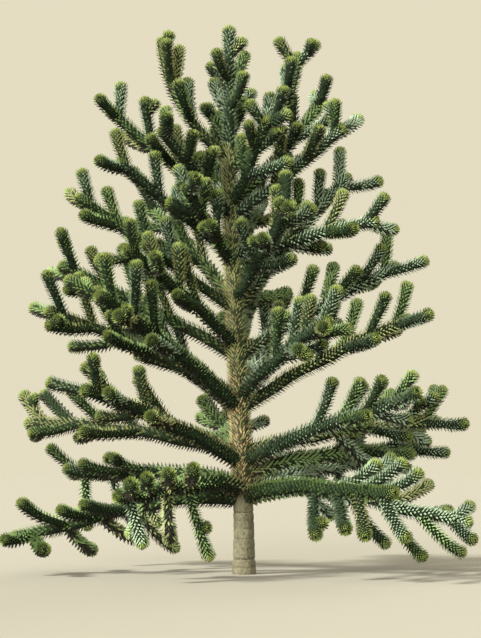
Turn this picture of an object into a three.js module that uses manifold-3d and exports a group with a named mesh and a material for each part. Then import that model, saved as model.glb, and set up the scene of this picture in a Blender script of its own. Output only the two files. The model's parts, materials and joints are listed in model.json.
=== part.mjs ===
// Monkey puzzle tree: a young tree 4.5 m tall, rooted in level ground.
//
// Millimetres. +Z is up, +X is to the right of the front view and +Y leads away
// from it. The origin is the middle of the flat cut under the trunk, at ground
// level. A straight trunk, bare at the foot and clad in old scale leaves above,
// carries nine whorls of boughs and a leader. Every bough and side shoot is a
// blunt finger packed with stiff leaves. One tooth on a finger stands for about
// twenty leaves.
//
// In the four lower whorls each bough is a node of its own, and the foliage
// that grows on from its tip is another. Higher up a bough is leafy from the
// trunk, so it is one node.

import * as THREE from 'three';
import Module from 'manifold-3d';

// The whole tree
const TREE_HEIGHT = 4518;
const MEETING_GAP = 0.3; // between solids that meet

// The trunk
const TRUNK_TOP = 3500; // where the leader's foliage takes over
const TRUNK_LEAN = 123; // how far the top stands to the left of the foot
const LEAN_HEIGHT = 3700;
const TRUNK_RADIUS_LOW = 84;
const TRUNK_RADIUS_HIGH = 50;
const FLARE = 14; // what the root flare adds at the ground
const FLARE_HEIGHT = 120;
const TRUNK_SIDES = 12;
const TRUNK_PITCH = 167; // height of one band of the trunk
const SCALES_FROM = 640; // below this the bark is bare
const SCALE_STAND = 33; // how far the old leaves stand out of the bark

// The boughs and shoots
const OUTER_PER_TRUNK = 1.15; // a bough's leafy radius over the trunk's radius
const OUTER_LEAST = 72;
const OUTER_TIP = 62; // leafy radius at a bough's tip
const SHOOT_ROOT = 58; // leafy radius of a side shoot, at its root and tip
const SHOOT_TIP = 60;
const CORE_SHARE = 0.8; // wood and packed leaf bases over the leafy radius
const ROOT_SHARE = 0.47; // the same where a bough leaves the trunk
const PLAIN_ROOT = 230; // length of bough with no leaves standing out, at the trunk
const BOUGH_SHARE = 0.4; // of a lower bough's length, before its foliage starts
const BOUGH_STEPS = 10;
const SHOOT_STEPS = 5;
const BOUGH_STAGGER = 42; // neighbours in a whorl sit this far above and below it
const SWING = 12; // degrees that a bough may bend sideways
const BOUGH_PITCH = 160; // length of one tier of teeth
const SHOOT_PITCH = 170;
const SHOOT_FOOT = 110; // from a side shoot's pointed foot, in its parent, to its full girth
const TOOTH_LEAD = 24; // how far a tooth's point leads its base
const BLUNT = 0.82; // girth of the last tier over the one before
const CAP = 30; // rounded end beyond the last tier
const ROOM = 60; // round a side shoot's foot, where its parent has no teeth

// Side shoots
const FIRST_SHARE = 0.46; // place of the first pair on a lower bough's length
const FIRST_SHARE_HIGH = 0.36; // the same where the foliage starts at the trunk
const LAST_SHARE = 0.9;
const FORK = [34, 54]; // degrees between a bough and its side shoots
const FORK_HANGING = [66, 84]; // the same for those that hang under the lowest boughs,
const HANG_LEAN = 32; // less this much on the right of the tree, and more on the left
const SHOOT_REACH = 0.15; // length of a side shoot: this share of its bough's reach,
const SHOOT_TAPER = 250; // and this much more near the trunk,
const SHOOT_LEAST = 100; // and this much in any case
const SHORTER = [1, 0.8, 0.62]; // what a shoot tries where there is no room
const TWISTS = [0, 25, -25, 50, -50, 75, -75, 110, -110];
const SHOOT_GAP = 2; // kept between two masses
const SHOOT_OVERLAP = -30; // allowed between shoots of one mass
const LOWEST = 115; // of any shoot's middle line above the ground
const TOP_MARGIN = 60;
const REACH_LEFT = -1930;
const REACH_RIGHT = 1860;

// The leader
const LEADER_RADIUS = 78;
const LEADER_STEPS = 8;
const LEADER_FIRST = 0.3;
const LEADER_LAST = 0.76;
const LEADER_FORK = 56;
const LEADER_TURN = 60;
const LEADER_LIFT = 1.5;
const LEADER_REACH = 1050;
const LEADER_PAIRS = 3;

// The whorls, from the ground up. `at` is the height on the trunk. `rise` is a
// bough's elevation in degrees at its root, middle and tip. `pairs` counts the
// side shoots and `lift` bends them upwards. `opening` has two ranges for their
// roll, which change sides from one pair to the next. Where `hanging` is given
// they keep their sides, and it lengthens those that hang under the bough. Each
// bough has its turn round the trunk (0 is right, 90 is away from the viewer),
// its length, and a tilt added to the whorl's rise.
const WHORLS = [
  {
    at: 650, rise: [8, -28, -8], pairs: 4, lift: 0.5, opening: [[-105, -60], [-10, 60]], hanging: 1.15,
    boughs: [[317, 1750, 12], [1, 1900, 1], [52, 1700, 20], [142, 1850, 13], [186, 1930, 0], [233, 1600, 8]],
  },
  {
    at: 860, rise: [14, 4, 0], pairs: 4, lift: 0.25, opening: [[40, 95], [-60, 10]],
    boughs: [[30, 1900, 0]],
  },
  {
    at: 940, rise: [16, 10, 2], pairs: 4, lift: 0.25, opening: [[40, 95], [-60, 10]],
    boughs: [[331, 1550, 9], [9, 1750, -1], [97, 1700, 3], [168, 1930, -2], [214, 1650, 11]],
  },
  {
    at: 1380, rise: [30, 25, 18], pairs: 4, lift: 0.35, opening: [[45, 95], [-60, 15]],
    boughs: [[352, 1600, 3], [73, 1650, 2], [135, 1500, 2], [179, 1750, 0], [223, 1750, 5], [305, 1250, 4]],
  },
  {
    at: 1810, rise: [30, 28, 24], pairs: 4, lift: 0.4, opening: [[45, 95], [-60, 15]],
    boughs: [[8, 1600, 2], [80, 1500, 4], [168, 1700, 0], [228, 1400, 4]],
  },
  {
    at: 2190, rise: [36, 38, 34], pairs: 4, lift: 0.4, opening: [[45, 95], [-60, 15]],
    boughs: [[26, 1600, 12], [128, 1450, 2], [188, 1600, -1], [305, 1150, 2]],
  },
  {
    at: 2560, rise: [28, 30, 30], pairs: 3, lift: 0.4, opening: [[45, 95], [-60, 15]],
    boughs: [[80, 1250, 4], [203, 1250, 6], [238, 950, 8], [350, 1250, -17]],
  },
  {
    at: 2960, rise: [40, 46, 50], pairs: 3, lift: 0.5, opening: [[25, 85], [-40, 30]],
    boughs: [[352, 1200, -8], [24, 1350, 2], [105, 1150, 2], [165, 1350, -6], [225, 1000, -4], [310, 850, 8]],
  },
  {
    at: 3370, rise: [34, 62, 90], pairs: 3, lift: 1.0, opening: [[0, 60], [0, 60]],
    boughs: [[92, 950, 0], [188, 1190, -1], [350, 1150, -3]],
  },
];
const SPLIT_WHORLS = 4; // whorls whose boughs are nodes apart from their foliage

const LETTERS = 'abcdefg';
const BARK = { color: 0xa29b76, roughness: 0.85, metalness: 0 };
const BOUGH_LEAVES = { color: 0x6f6f42, roughness: 0.75, metalness: 0 };
const LEAVES = { color: 0x5c6a3b, roughness: 0.7, metalness: 0 };

const vec = (x, y, z) => new THREE.Vector3(x, y, z);
const radians = THREE.MathUtils.degToRad;

// A repeatable number from 0 to 1 for each seed.
function chance(seed) {
  const s = Math.sin(seed * 12.9898) * 43758.5453;
  return s - Math.floor(s);
}

function spread(seed, low, high) {
  return low + (high - low) * chance(seed);
}

// The middle line of the trunk: upright at the ground, then leaning to the left.
function trunkAxis(z) {
  const t = Math.min(1, Math.max(0, z / LEAN_HEIGHT));
  return vec(-TRUNK_LEAN * t * t * (3 - 2 * t), 0, z);
}

function trunkRadius(z) {
  const taper = TRUNK_RADIUS_LOW + ((TRUNK_RADIUS_HIGH - TRUNK_RADIUS_LOW) * z) / TRUNK_TOP;
  return taper + FLARE * Math.exp(-z / FLARE_HEIGHT);
}

// A bough starts inside the trunk and follows a curve of elevation outwards.
function boughAxis(height, turn, reach, rise, swing) {
  const points = [trunkAxis(height)];
  for (let i = 0; i < BOUGH_STEPS; i += 1) {
    const t = (i + 0.5) / BOUGH_STEPS;
    const [root, middle, tip] = rise;
    const e = radians((1 - t) ** 2 * root + 2 * t * (1 - t) * middle + t * t * tip);
    const a = radians(turn + swing * t);
    const way = vec(Math.cos(a) * Math.cos(e), Math.sin(a) * Math.cos(e), Math.sin(e));
    points.push(points[i].clone().addScaledVector(way, reach / BOUGH_STEPS));
  }
  return points;
}

function pointOn(points, share) {
  const f = Math.min(1, Math.max(0, share)) * (points.length - 1);
  const i = Math.min(Math.floor(f), points.length - 2);
  return points[i].clone().lerp(points[i + 1], f - i);
}

function directionOn(points, share) {
  const step = 0.5 / (points.length - 1);
  return pointOn(points, share + step).sub(pointOn(points, share - step)).normalize();
}

// The way a side shoot leaves its parent: `roll` goes round the parent, from
// level to upright, and `angle` opens away from it.
function forked(tangent, roll, angle) {
  const flat = Math.abs(tangent.z) > 0.97 ? vec(1, 0, 0) : tangent.clone().cross(vec(0, 0, 1)).normalize();
  const up = flat.clone().cross(tangent);
  const side = flat.multiplyScalar(Math.cos(roll)).addScaledVector(up, Math.sin(roll));
  return tangent.clone().multiplyScalar(Math.cos(angle)).addScaledVector(side, Math.sin(angle)).normalize();
}

function sideShoot(start, heading, length, lift) {
  const points = [start];
  for (let i = 0; i < SHOOT_STEPS; i += 1) {
    const t = (i + 0.5) / SHOOT_STEPS;
    const bent = heading.clone().add(vec(0, 0, lift * t * t)).normalize();
    points.push(points[i].clone().addScaledVector(bent, length / SHOOT_STEPS));
  }
  return points;
}

// Balls along a limb that fill the space it takes, leaves and all.
function spaceOf(points, rootRadius, tipRadius, plain) {
  const balls = [];
  const steps = points.length - 1;
  for (let i = 0; i < steps; i += 1) {
    const length = points[i].distanceTo(points[i + 1]);
    const parts = Math.max(1, Math.floor(length / 30));
    for (let j = 0; j < parts; j += 1) {
      const t = (i + j / parts) / steps;
      const p = points[i].clone().lerp(points[i + 1], j / parts);
      const leafy = rootRadius + (tipRadius - rootRadius) * t;
      p.r = t * steps * length < plain ? leafy * ROOT_SHARE : leafy;
      balls.push(p);
    }
  }
  const last = points[steps].clone();
  last.r = tipRadius;
  balls.push(last);
  return balls;
}

function isClear(balls, others, gap) {
  for (const a of balls) {
    for (const b of others) {
      const reach = a.r + b.r + gap;
      const dx = a.x - b.x;
      const dy = a.y - b.y;
      const dz = a.z - b.z;
      if (dx * dx + dy * dy + dz * dz <= reach * reach) {
        return false;
      }
    }
  }
  return true;
}

// Every bough with its middle line and thickness, then the leader.
function layBoughs() {
  const boughs = [];
  WHORLS.forEach((whorl, w) => {
    whorl.boughs.forEach(([turn, reach, tilt], b) => {
      const number = boughs.length + 1;
      const height = whorl.at + (b % 2 ? BOUGH_STAGGER : -BOUGH_STAGGER);
      const rise = whorl.rise.map((degrees) => degrees + tilt);
      const swing = spread(number + 0.3, -SWING, SWING);
      boughs.push({
        name: `${w + 1}${LETTERS[b]}`,
        number,
        reach,
        split: w < SPLIT_WHORLS,
        pairs: whorl.pairs,
        lift: whorl.lift,
        opening: whorl.opening,
        hanging: whorl.hanging,
        first: w < SPLIT_WHORLS ? FIRST_SHARE : FIRST_SHARE_HIGH,
        last: LAST_SHARE,
        axis: boughAxis(height, turn, reach, rise, swing),
        root: Math.max(OUTER_LEAST, OUTER_PER_TRUNK * trunkRadius(height)),
        tip: OUTER_TIP,
        plain: PLAIN_ROOT,
        shoots: [],
      });
    });
  });
  const axis = [];
  for (let i = 0; i <= LEADER_STEPS; i += 1) {
    axis.push(trunkAxis(TRUNK_TOP + ((TREE_HEIGHT - TRUNK_TOP) * i) / LEADER_STEPS));
  }
  boughs.push({
    name: 'leader', number: 99, reach: LEADER_REACH, split: false, pairs: LEADER_PAIRS,
    lift: LEADER_LIFT, first: LEADER_FIRST, last: LEADER_LAST, axis,
    root: LEADER_RADIUS, tip: OUTER_TIP, plain: 0, shoots: [],
  });
  return boughs;
}

// Roll, fork and length of one side shoot, before it looks for room.
function shootPlan(bough, k, side, share) {
  const seed = bough.number * 7.7 + k * 2.3 + side * 0.9;
  const length = (bough.reach * SHOOT_REACH + SHOOT_TAPER * (1 - share)) * spread(seed + 0.2, 0.85, 1.2);
  if (bough.name === 'leader') {
    const roll = (k - LEADER_PAIRS + 1) * LEADER_TURN;
    return { roll, fork: LEADER_FORK, length: length + SHOOT_LEAST };
  }
  const hangs = side === 0 && bough.hanging;
  const hung = spread(seed + 0.1, ...FORK_HANGING) - HANG_LEAN * directionOn(bough.axis, 0.5).x;
  return {
    roll: spread(seed, ...bough.opening[bough.hanging ? side : (side + k) % 2]),
    fork: hangs ? hung : spread(seed + 0.1, ...FORK),
    length: (length + SHOOT_LEAST) * (hangs || 1),
  };
}

// The boughs take turns to put out side shoots. A shoot that would leave the
// tree's space or come too near another limb turns, then shortens, then is
// left out.
function growShoots(boughs) {
  const spaces = new Map(boughs.map((bough) => [bough.name, []]));
  const trunkBalls = [];
  for (let z = 0; z < TRUNK_TOP; z += 60) {
    const ball = trunkAxis(z);
    ball.r = trunkRadius(z) + SCALE_STAND + 2;
    trunkBalls.push(ball);
  }
  for (const bough of boughs) {
    bough.space = spaceOf(bough.axis, bough.root, bough.tip, bough.plain);
  }
  const most = Math.max(...boughs.map((bough) => bough.pairs));
  for (let k = 0; k < most; k += 1) {
    for (const bough of boughs.filter((one) => k < one.pairs)) {
      const share = bough.first + ((bough.last - bough.first) * k) / (bough.pairs - 1);
      const start = pointOn(bough.axis, share);
      const tangent = directionOn(bough.axis, share);
      const others = [...trunkBalls];
      for (const other of boughs) {
        if (other !== bough) {
          others.push(...other.space, ...spaces.get(other.name));
        }
      }
      for (const side of [0, 1]) {
        const plan = shootPlan(bough, k, side, share);
        const placed = placeShoot(bough, plan, side, start, tangent, others, spaces.get(bough.name));
        if (placed) {
          bough.shoots.push({ ...placed, share, seed: bough.number * 3.1 + k * 1.7 + side });
          spaces.get(bough.name).push(...placed.balls);
        }
      }
    }
  }
}

function placeShoot(bough, plan, side, start, tangent, others, own) {
  for (const shorter of SHORTER) {
    for (const twist of TWISTS) {
      const opened = plan.roll + twist;
      const turned = bough.name === 'leader' ? 180 + opened : 180 - opened;
      const heading = forked(tangent, radians(side ? turned : opened), radians(plan.fork));
      const points = sideShoot(start, heading, plan.length * shorter, bough.lift);
      const balls = spaceOf(points, SHOOT_ROOT, SHOOT_TIP, 0);
      const heights = points.map((p) => p.z);
      const tip = points[SHOOT_STEPS];
      const inside = Math.min(...heights) >= LOWEST && Math.max(...heights) <= TREE_HEIGHT - TOP_MARGIN
        && tip.x >= REACH_LEFT && tip.x <= REACH_RIGHT;
      const far = balls.slice(Math.floor(balls.length / 3));
      if (inside && isClear(balls, others, SHOOT_GAP) && isClear(far, own, SHOOT_OVERLAP)) {
        return { points, balls };
      }
    }
  }
  return null;
}

// A closed limb of twisted rings. Each triangle that points along the limb can
// be raised into a tooth. The limb starts flat or from a pointed foot, and ends
// flat or in a blunt cone.
function limbGeometry({ at, way, rings, sides, radius, tooth, phase, foot, cap }) {
  const positions = [];
  const index = [];
  const add = (p) => positions.push(p.x, p.y, p.z) / 3 - 1;
  const half = Math.PI / sides;
  const shares = Array.from({ length: rings + 1 }, (_, j) => j / rings);
  let across = null;
  const frames = shares.map((share) => {
    const along = way(share);
    const guide = across ?? (Math.abs(along.z) > 0.9 ? vec(1, 0, 0) : vec(0, 0, 1).cross(along));
    across = guide.clone().addScaledVector(along, -guide.dot(along)).normalize();
    return { middle: at(share), along, across: across.clone(), over: along.clone().cross(across) };
  });
  const onRing = (j, turn, r, lead) => {
    const { middle, along, across: a, over } = frames[j];
    return middle.clone().addScaledVector(a, r * Math.cos(turn)).addScaledVector(over, r * Math.sin(turn))
      .addScaledVector(along, lead);
  };
  const turnOf = (j, i) => phase + j * half + i * 2 * half;
  const ring = frames.map((_, j) => Array.from({ length: sides }, (__, i) => (
    add(onRing(j, turnOf(j, i), radius(shares[j]), 0))
  )));
  for (let j = 0; j < rings; j += 1) {
    for (let i = 0; i < sides; i += 1) {
      const next = (i + 1) % sides;
      const rear = ring[j][i];
      const rearNext = ring[j][next];
      const front = ring[j + 1][i];
      index.push(rearNext, ring[j + 1][next], front);
      const height = tooth(j, i, (out, lead) => onRing(j + 1, turnOf(j + 1, i), out, lead));
      if (height) {
        const point = add(height);
        index.push(rear, rearNext, point, rearNext, front, point, front, rear, point);
      } else {
        index.push(rear, rearNext, front);
      }
    }
  }
  if (foot) {
    const start = add(foot);
    for (let i = 0; i < sides; i += 1) {
      index.push(ring[0][(i + 1) % sides], ring[0][i], start);
    }
  } else {
    for (let i = 1; i < sides - 1; i += 1) {
      index.push(ring[0][0], ring[0][i + 1], ring[0][i]);
    }
  }
  if (cap > 0) {
    const end = add(onRing(rings, 0, 0, cap));
    for (let i = 0; i < sides; i += 1) {
      index.push(ring[rings][i], ring[rings][(i + 1) % sides], end);
    }
  } else {
    for (let i = 1; i < sides - 1; i += 1) {
      index.push(ring[rings][0], ring[rings][i], ring[rings][i + 1]);
    }
  }
  const geometry = new THREE.BufferGeometry();
  geometry.setAttribute('position', new THREE.Float32BufferAttribute(positions, 3));
  geometry.setIndex(index);
  return geometry;
}

// A leafy limb over part of a middle line, from one share of it to another. Teeth
// leave room for what `others` holds.
function leafyLimb({ axis, from, to, root, tip, plain, sides, pitch, seed, foot, cap, others }) {
  const whole = axis.reduce((sum, p, i) => (i ? sum + p.distanceTo(axis[i - 1]) : 0), 0);
  const start = from * whole + foot;
  const body = to * whole - cap - start;
  const rings = Math.max(1, Math.round(body / pitch));
  const reached = (share) => start + share * body;
  const leafy = (share) => root + ((tip - root) * reached(share)) / whole;
  const core = (share) => {
    const grown = plain ? Math.min(1, reached(share) / plain) : 1;
    const blunt = cap > 0 && share > 0.99 ? BLUNT : 1;
    return leafy(share) * (ROOT_SHARE + (CORE_SHARE - ROOT_SHARE) * grown) * blunt;
  };
  return limbGeometry({
    at: (share) => pointOn(axis, reached(share) / whole),
    way: (share) => directionOn(axis, reached(share) / whole),
    rings,
    sides,
    radius: core,
    tooth: (j, i, place) => {
      if (reached(j / rings) < plain) {
        return null;
      }
      const last = cap > 0 && j === rings - 1;
      const out = leafy((j + 1) / rings) * spread(seed + j * 0.37 + i * 0.91, 0.94, 1);
      const point = last ? place(out * BLUNT, 0) : place(out, TOOTH_LEAD);
      point.r = 0;
      return isClear([point], others, 0) ? point : null;
    },
    phase: chance(seed) * 2 * Math.PI,
    foot: foot ? axis[0] : null,
    cap,
  });
}

// The trunk: bands from the ground to the leader, with every other leading
// triangle raised where no bough stands in the way.
function trunkGeometry(boughs, grown) {
  const rings = Math.round(TRUNK_TOP / TRUNK_PITCH);
  const rising = (share) => (share <= 0 ? vec(0, 0, 1)
    : trunkAxis(share * TRUNK_TOP + 20).sub(trunkAxis(share * TRUNK_TOP - 20)).normalize());
  const roots = boughs.flatMap((bough) => bough.space.slice(0, 16));
  return limbGeometry({
    at: (share) => trunkAxis(share * TRUNK_TOP),
    way: rising,
    rings,
    sides: TRUNK_SIDES,
    radius: (share) => trunkRadius(share * TRUNK_TOP) + grown,
    tooth: (j, i, place) => {
      const z = (TRUNK_TOP * (j + 1)) / rings;
      if (grown || z < SCALES_FROM || j === rings - 1 || (i + j) % 2) {
        return null;
      }
      const probes = [0, 1, 2, 3, 4].map((step) => {
        const stand = SCALE_STAND * (1 - step / 4);
        const probe = place(trunkRadius(z) + stand, TOOTH_LEAD - (step * TRUNK_PITCH) / 4);
        probe.r = 8 + 4 * step;
        return probe;
      });
      return isClear(probes, roots, 9) ? probes[0] : null;
    },
    phase: 0,
    foot: null,
    cap: 0,
  });
}

const wasm = await Module();
wasm.setup();

function solidOf(geometry) {
  return new wasm.Manifold(new wasm.Mesh({
    numProp: 3,
    vertProperties: new Float32Array(geometry.getAttribute('position').array),
    triVerts: new Uint32Array(geometry.getIndex().array),
  }));
}

// The largest body, without any scrap or inner skin that joining or cutting left.
function oneBody(solid) {
  return solid.decompose().reduce((best, one) => (one.volume() > best.volume() ? one : best));
}

// A named mesh that stands at its own root.
function nodeOf(name, solid, root, material) {
  const { vertProperties, triVerts } = oneBody(solid).getMesh();
  const geometry = new THREE.BufferGeometry();
  geometry.setAttribute('position', new THREE.BufferAttribute(new Float32Array(vertProperties), 3));
  geometry.setIndex(new THREE.BufferAttribute(new Uint32Array(triVerts), 1));
  geometry.translate(-root.x, -root.y, -root.z);
  geometry.computeVertexNormals();
  const mesh = new THREE.Mesh(geometry, new THREE.MeshStandardMaterial(material));
  mesh.name = name;
  mesh.position.copy(root);
  return mesh;
}

function foliageSolid(bough, whole) {
  const from = bough.split ? BOUGH_SHARE + MEETING_GAP / whole : 0;
  const feet = bough.shoots.flatMap((shoot) => spaceOf(shoot.points.slice(0, 3), ROOM, ROOM, 0));
  let mass = solidOf(leafyLimb({
    axis: bough.axis, from, to: 1, root: bough.root, tip: bough.tip, plain: bough.plain,
    sides: 3, pitch: BOUGH_PITCH, seed: bough.number + 0.5, foot: 0, cap: CAP, others: feet,
  }));
  for (const shoot of bough.shoots) {
    mass = mass.add(solidOf(leafyLimb({
      axis: shoot.points, from: 0, to: 1, root: SHOOT_ROOT, tip: SHOOT_TIP, plain: 0,
      sides: 3, pitch: SHOOT_PITCH, seed: shoot.seed, foot: SHOOT_FOOT, cap: CAP, others: [],
    })));
  }
  return mass;
}

const boughs = layBoughs();
growShoots(boughs);

const tree = new THREE.Group();
tree.name = 'monkey_puzzle_tree';
const trunkSolid = solidOf(trunkGeometry(boughs, 0));
const trunkSpace = solidOf(trunkGeometry(boughs, MEETING_GAP * 1.15));
tree.add(nodeOf('trunk', trunkSolid, vec(0, 0, 0), BARK));

for (const bough of boughs) {
  const root = pointOn(bough.axis, bough.split ? BOUGH_SHARE : 0);
  if (bough.name === 'leader') {
    const foot = pointOn(bough.axis, 0).add(vec(0, 0, MEETING_GAP));
    bough.axis.forEach((p) => p.add(vec(0, 0, MEETING_GAP)));
    bough.shoots.forEach((shoot) => shoot.points.forEach((p) => p.add(vec(0, 0, MEETING_GAP))));
    tree.add(nodeOf('foliage_leader', foliageSolid(bough, bough.reach), foot, LEAVES));
  } else if (bough.split) {
    const limb = solidOf(leafyLimb({
      axis: bough.axis, from: 0, to: BOUGH_SHARE, root: bough.root, tip: bough.tip,
      plain: bough.plain, sides: 3, pitch: BOUGH_PITCH, seed: bough.number + 0.2,
      foot: 0, cap: 0, others: [],
    }));
    const start = bough.axis[0];
    tree.add(nodeOf(`bough_${bough.name}`, limb.subtract(trunkSpace), start, BOUGH_LEAVES));
    tree.add(nodeOf(`foliage_${bough.name}`, foliageSolid(bough, bough.reach), root, LEAVES));
  } else {
    tree.add(nodeOf(`foliage_${bough.name}`, foliageSolid(bough, 1).subtract(trunkSpace), root, LEAVES));
  }
}

export default tree;
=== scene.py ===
# Monkey puzzle tree: bark, wood and leaves for a young tree 4.5 m tall.
#
# The limbs grow by the solids' own rule, in millimetres, are carried on to finer
# twigs, and are then dressed with wood and leaves, in metres. +Z is up, +X is to the
# right of the front view and +Y leads away from it.

import json
import math

import bmesh
import bpy
import numpy as np
from bpy.props import FloatProperty, FloatVectorProperty, PointerProperty
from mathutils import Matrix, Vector, noise

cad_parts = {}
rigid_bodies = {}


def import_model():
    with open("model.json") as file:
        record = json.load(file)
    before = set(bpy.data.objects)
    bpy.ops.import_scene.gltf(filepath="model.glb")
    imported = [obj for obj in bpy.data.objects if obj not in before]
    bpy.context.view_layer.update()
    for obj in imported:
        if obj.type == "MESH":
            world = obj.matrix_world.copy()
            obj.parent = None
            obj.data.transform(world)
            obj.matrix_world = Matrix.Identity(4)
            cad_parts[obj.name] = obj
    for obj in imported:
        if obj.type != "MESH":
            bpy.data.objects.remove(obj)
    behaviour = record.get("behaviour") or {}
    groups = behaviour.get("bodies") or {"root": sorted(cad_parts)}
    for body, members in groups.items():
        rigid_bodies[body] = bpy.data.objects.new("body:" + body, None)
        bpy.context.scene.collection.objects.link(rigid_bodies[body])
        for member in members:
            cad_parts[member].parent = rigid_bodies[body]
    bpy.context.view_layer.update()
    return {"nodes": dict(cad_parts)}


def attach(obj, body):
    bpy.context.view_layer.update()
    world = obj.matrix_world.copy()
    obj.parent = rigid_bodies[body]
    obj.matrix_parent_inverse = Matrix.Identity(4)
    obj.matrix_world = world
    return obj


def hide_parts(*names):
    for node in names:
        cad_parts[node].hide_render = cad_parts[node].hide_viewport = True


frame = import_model()

bl_info = {
    "name": "Monkey Puzzle Tree",
    "version": (1, 0, 0),
    "blender": (4, 5, 0),
    "location": "View3D > Sidebar > Tree",
    "description": "Dresses a young monkey puzzle tree with bark, wood and leaves",
    "category": "Object",
}

MM = 0.001
GOLDEN_TURN = math.pi * (3 - math.sqrt(5))

# The tree's rule, in millimetres and degrees

TREE_HEIGHT = 4518
TRUNK_TOP = 3500
TRUNK_LEAN = 123
LEAN_HEIGHT = 3700
TRUNK_RADIUS_LOW = 84
TRUNK_RADIUS_HIGH = 50
FLARE = 14
FLARE_HEIGHT = 120
SCALES_FROM = 640
SCALE_STAND = 33

OUTER_PER_TRUNK = 1.15
OUTER_LEAST = 72
OUTER_TIP = 62
SHOOT_ROOT = 58
SHOOT_TIP = 60
ROOT_SHARE = 0.47
PLAIN_ROOT = 230
BOUGH_STEPS = 10
SHOOT_STEPS = 5
BOUGH_STAGGER = 42
SWING = 12

FIRST_SHARE = 0.46
FIRST_SHARE_HIGH = 0.36
LAST_SHARE = 0.9
FORK = (34, 54)
FORK_HANGING = (66, 84)
HANG_LEAN = 32
SHOOT_REACH = 0.15
SHOOT_TAPER = 250
SHOOT_LEAST = 100
SHOOT_SPREAD = (0.85, 1.2)
SHORTER = (1, 0.8, 0.62)
TWISTS = (0, 25, -25, 50, -50, 75, -75, 110, -110)
SPACE_PITCH = 30  # between the balls that fill a limb's space
TRUNK_SPACE_PITCH = 60
NEARBY = 260  # what lies further beyond a shoot's reach can't touch it
SHOOT_GAP = 2
SHOOT_OVERLAP = -30
LOWEST = 115
TOP_MARGIN = 60
REACH_LEFT = -1930
REACH_RIGHT = 1860

LEADER_RADIUS = 78
LEADER_STEPS = 8
LEADER_FIRST = 0.3
LEADER_LAST = 0.76
LEADER_FORK = 56
LEADER_TURN = 60
LEADER_LIFT = 1.5
LEADER_REACH = 1050
LEADER_PAIRS = 3
LEADER_SEED = 99

# Fine twigs that fork off the longer side shoots, and that the solids leave out
TWIG_FROM = 200
TWIG_SHARES = (0.5, 0.68)
TWIG_CHANCE = 0.55
TWIG_LENGTH = (105, 160)
TWIG_FORK = (40, 55)
TWIG_OPENING = (0, 60)
TWIG_RADIUS = 56
TWIG_STEPS = 3
TWIG_GAP = -8
TWIG_OVERLAP = -42
TWIG_TRIES = 5

# Each whorl's height, rise, pairs, lift, opening of either side and hanging, and the
# turn, reach and tilt of its boughs
WHORLS = (
    (650, (8, -28, -8), 4, 0.5, ((-105, -60), (-10, 60)), 1.15,
     ((317, 1750, 12), (1, 1900, 1), (52, 1700, 20), (142, 1850, 13), (186, 1930, 0), (233, 1600, 8))),
    (860, (14, 4, 0), 4, 0.25, ((40, 95), (-60, 10)), 0, ((30, 1900, 0),)),
    (940, (16, 10, 2), 4, 0.25, ((40, 95), (-60, 10)), 0,
     ((331, 1550, 9), (9, 1750, -1), (97, 1700, 3), (168, 1930, -2), (214, 1650, 11))),
    (1380, (30, 25, 18), 4, 0.35, ((45, 95), (-60, 15)), 0,
     ((352, 1600, 3), (73, 1650, 2), (135, 1500, 2), (179, 1750, 0), (223, 1750, 5), (305, 1250, 4))),
    (1810, (30, 28, 24), 4, 0.4, ((45, 95), (-60, 15)), 0,
     ((8, 1600, 2), (80, 1500, 4), (168, 1700, 0), (228, 1400, 4))),
    (2190, (36, 38, 34), 4, 0.4, ((45, 95), (-60, 15)), 0,
     ((26, 1600, 12), (128, 1450, 2), (188, 1600, -1), (305, 1150, 2))),
    (2560, (28, 30, 30), 3, 0.4, ((45, 95), (-60, 15)), 0,
     ((80, 1250, 4), (203, 1250, 6), (238, 950, 8), (350, 1250, -17))),
    (2960, (40, 46, 50), 3, 0.5, ((25, 85), (-40, 30)), 0,
     ((352, 1200, -8), (24, 1350, 2), (105, 1150, 2), (165, 1350, -6), (225, 1000, -4), (310, 850, 8))),
    (3370, (34, 62, 90), 3, 1.0, ((0, 60), (0, 60)), 0,
     ((92, 950, 0), (188, 1190, -1), (350, 1150, -3))),
)
SPLIT_WHORLS = 4


def chance(seed):
    """A repeatable number from 0 to 1 for each seed."""
    s = math.sin(seed * 12.9898) * 43758.5453
    return s - math.floor(s)


def spread(seed, low, high):
    return low + (high - low) * chance(seed)


def unit(v):
    return v / np.linalg.norm(v, axis=-1, keepdims=True)


def turned(first, second, angle):
    """Ways that lead off the first, at angles towards the second."""
    return first * np.cos(angle)[:, None] + second * np.sin(angle)[:, None]


def trunk_lean(z):
    """How far the trunk's middle stands to the right at a height."""
    t = np.clip(z / LEAN_HEIGHT, 0, 1)
    return -TRUNK_LEAN * t * t * (3 - 2 * t)


def trunk_axis(z):
    return np.array([trunk_lean(z), 0.0, z])


def trunk_radius(z):
    taper = TRUNK_RADIUS_LOW + (TRUNK_RADIUS_HIGH - TRUNK_RADIUS_LOW) * z / TRUNK_TOP
    return taper + FLARE * np.exp(-z / FLARE_HEIGHT)


class Limb:
    """A bough, side shoot or fine twig: its middle line and leafy girth."""

    def __init__(self, kind, line, root, tip, order, seed, **more):
        self.kind, self.line, self.root, self.tip = kind, np.array(line), root, tip
        self.order, self.seed = order, seed
        self.parent, self.children = None, []
        self.__dict__.update(more)

    def bear(self, child):
        child.parent, child.whorl = self, self.whorl
        self.children.append(child)


def bough_axis(height, turn, reach, rise, swing):
    """A line from the trunk's middle whose slope runs through three angles."""
    points = [trunk_axis(height)]
    for i in range(BOUGH_STEPS):
        t = (i + 0.5) / BOUGH_STEPS
        e = math.radians((1 - t) ** 2 * rise[0] + 2 * t * (1 - t) * rise[1] + t * t * rise[2])
        a = math.radians(turn + swing * t)
        way = np.array([math.cos(a) * math.cos(e), math.sin(a) * math.cos(e), math.sin(e)])
        points.append(points[-1] + way * (reach / BOUGH_STEPS))
    return points


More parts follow.
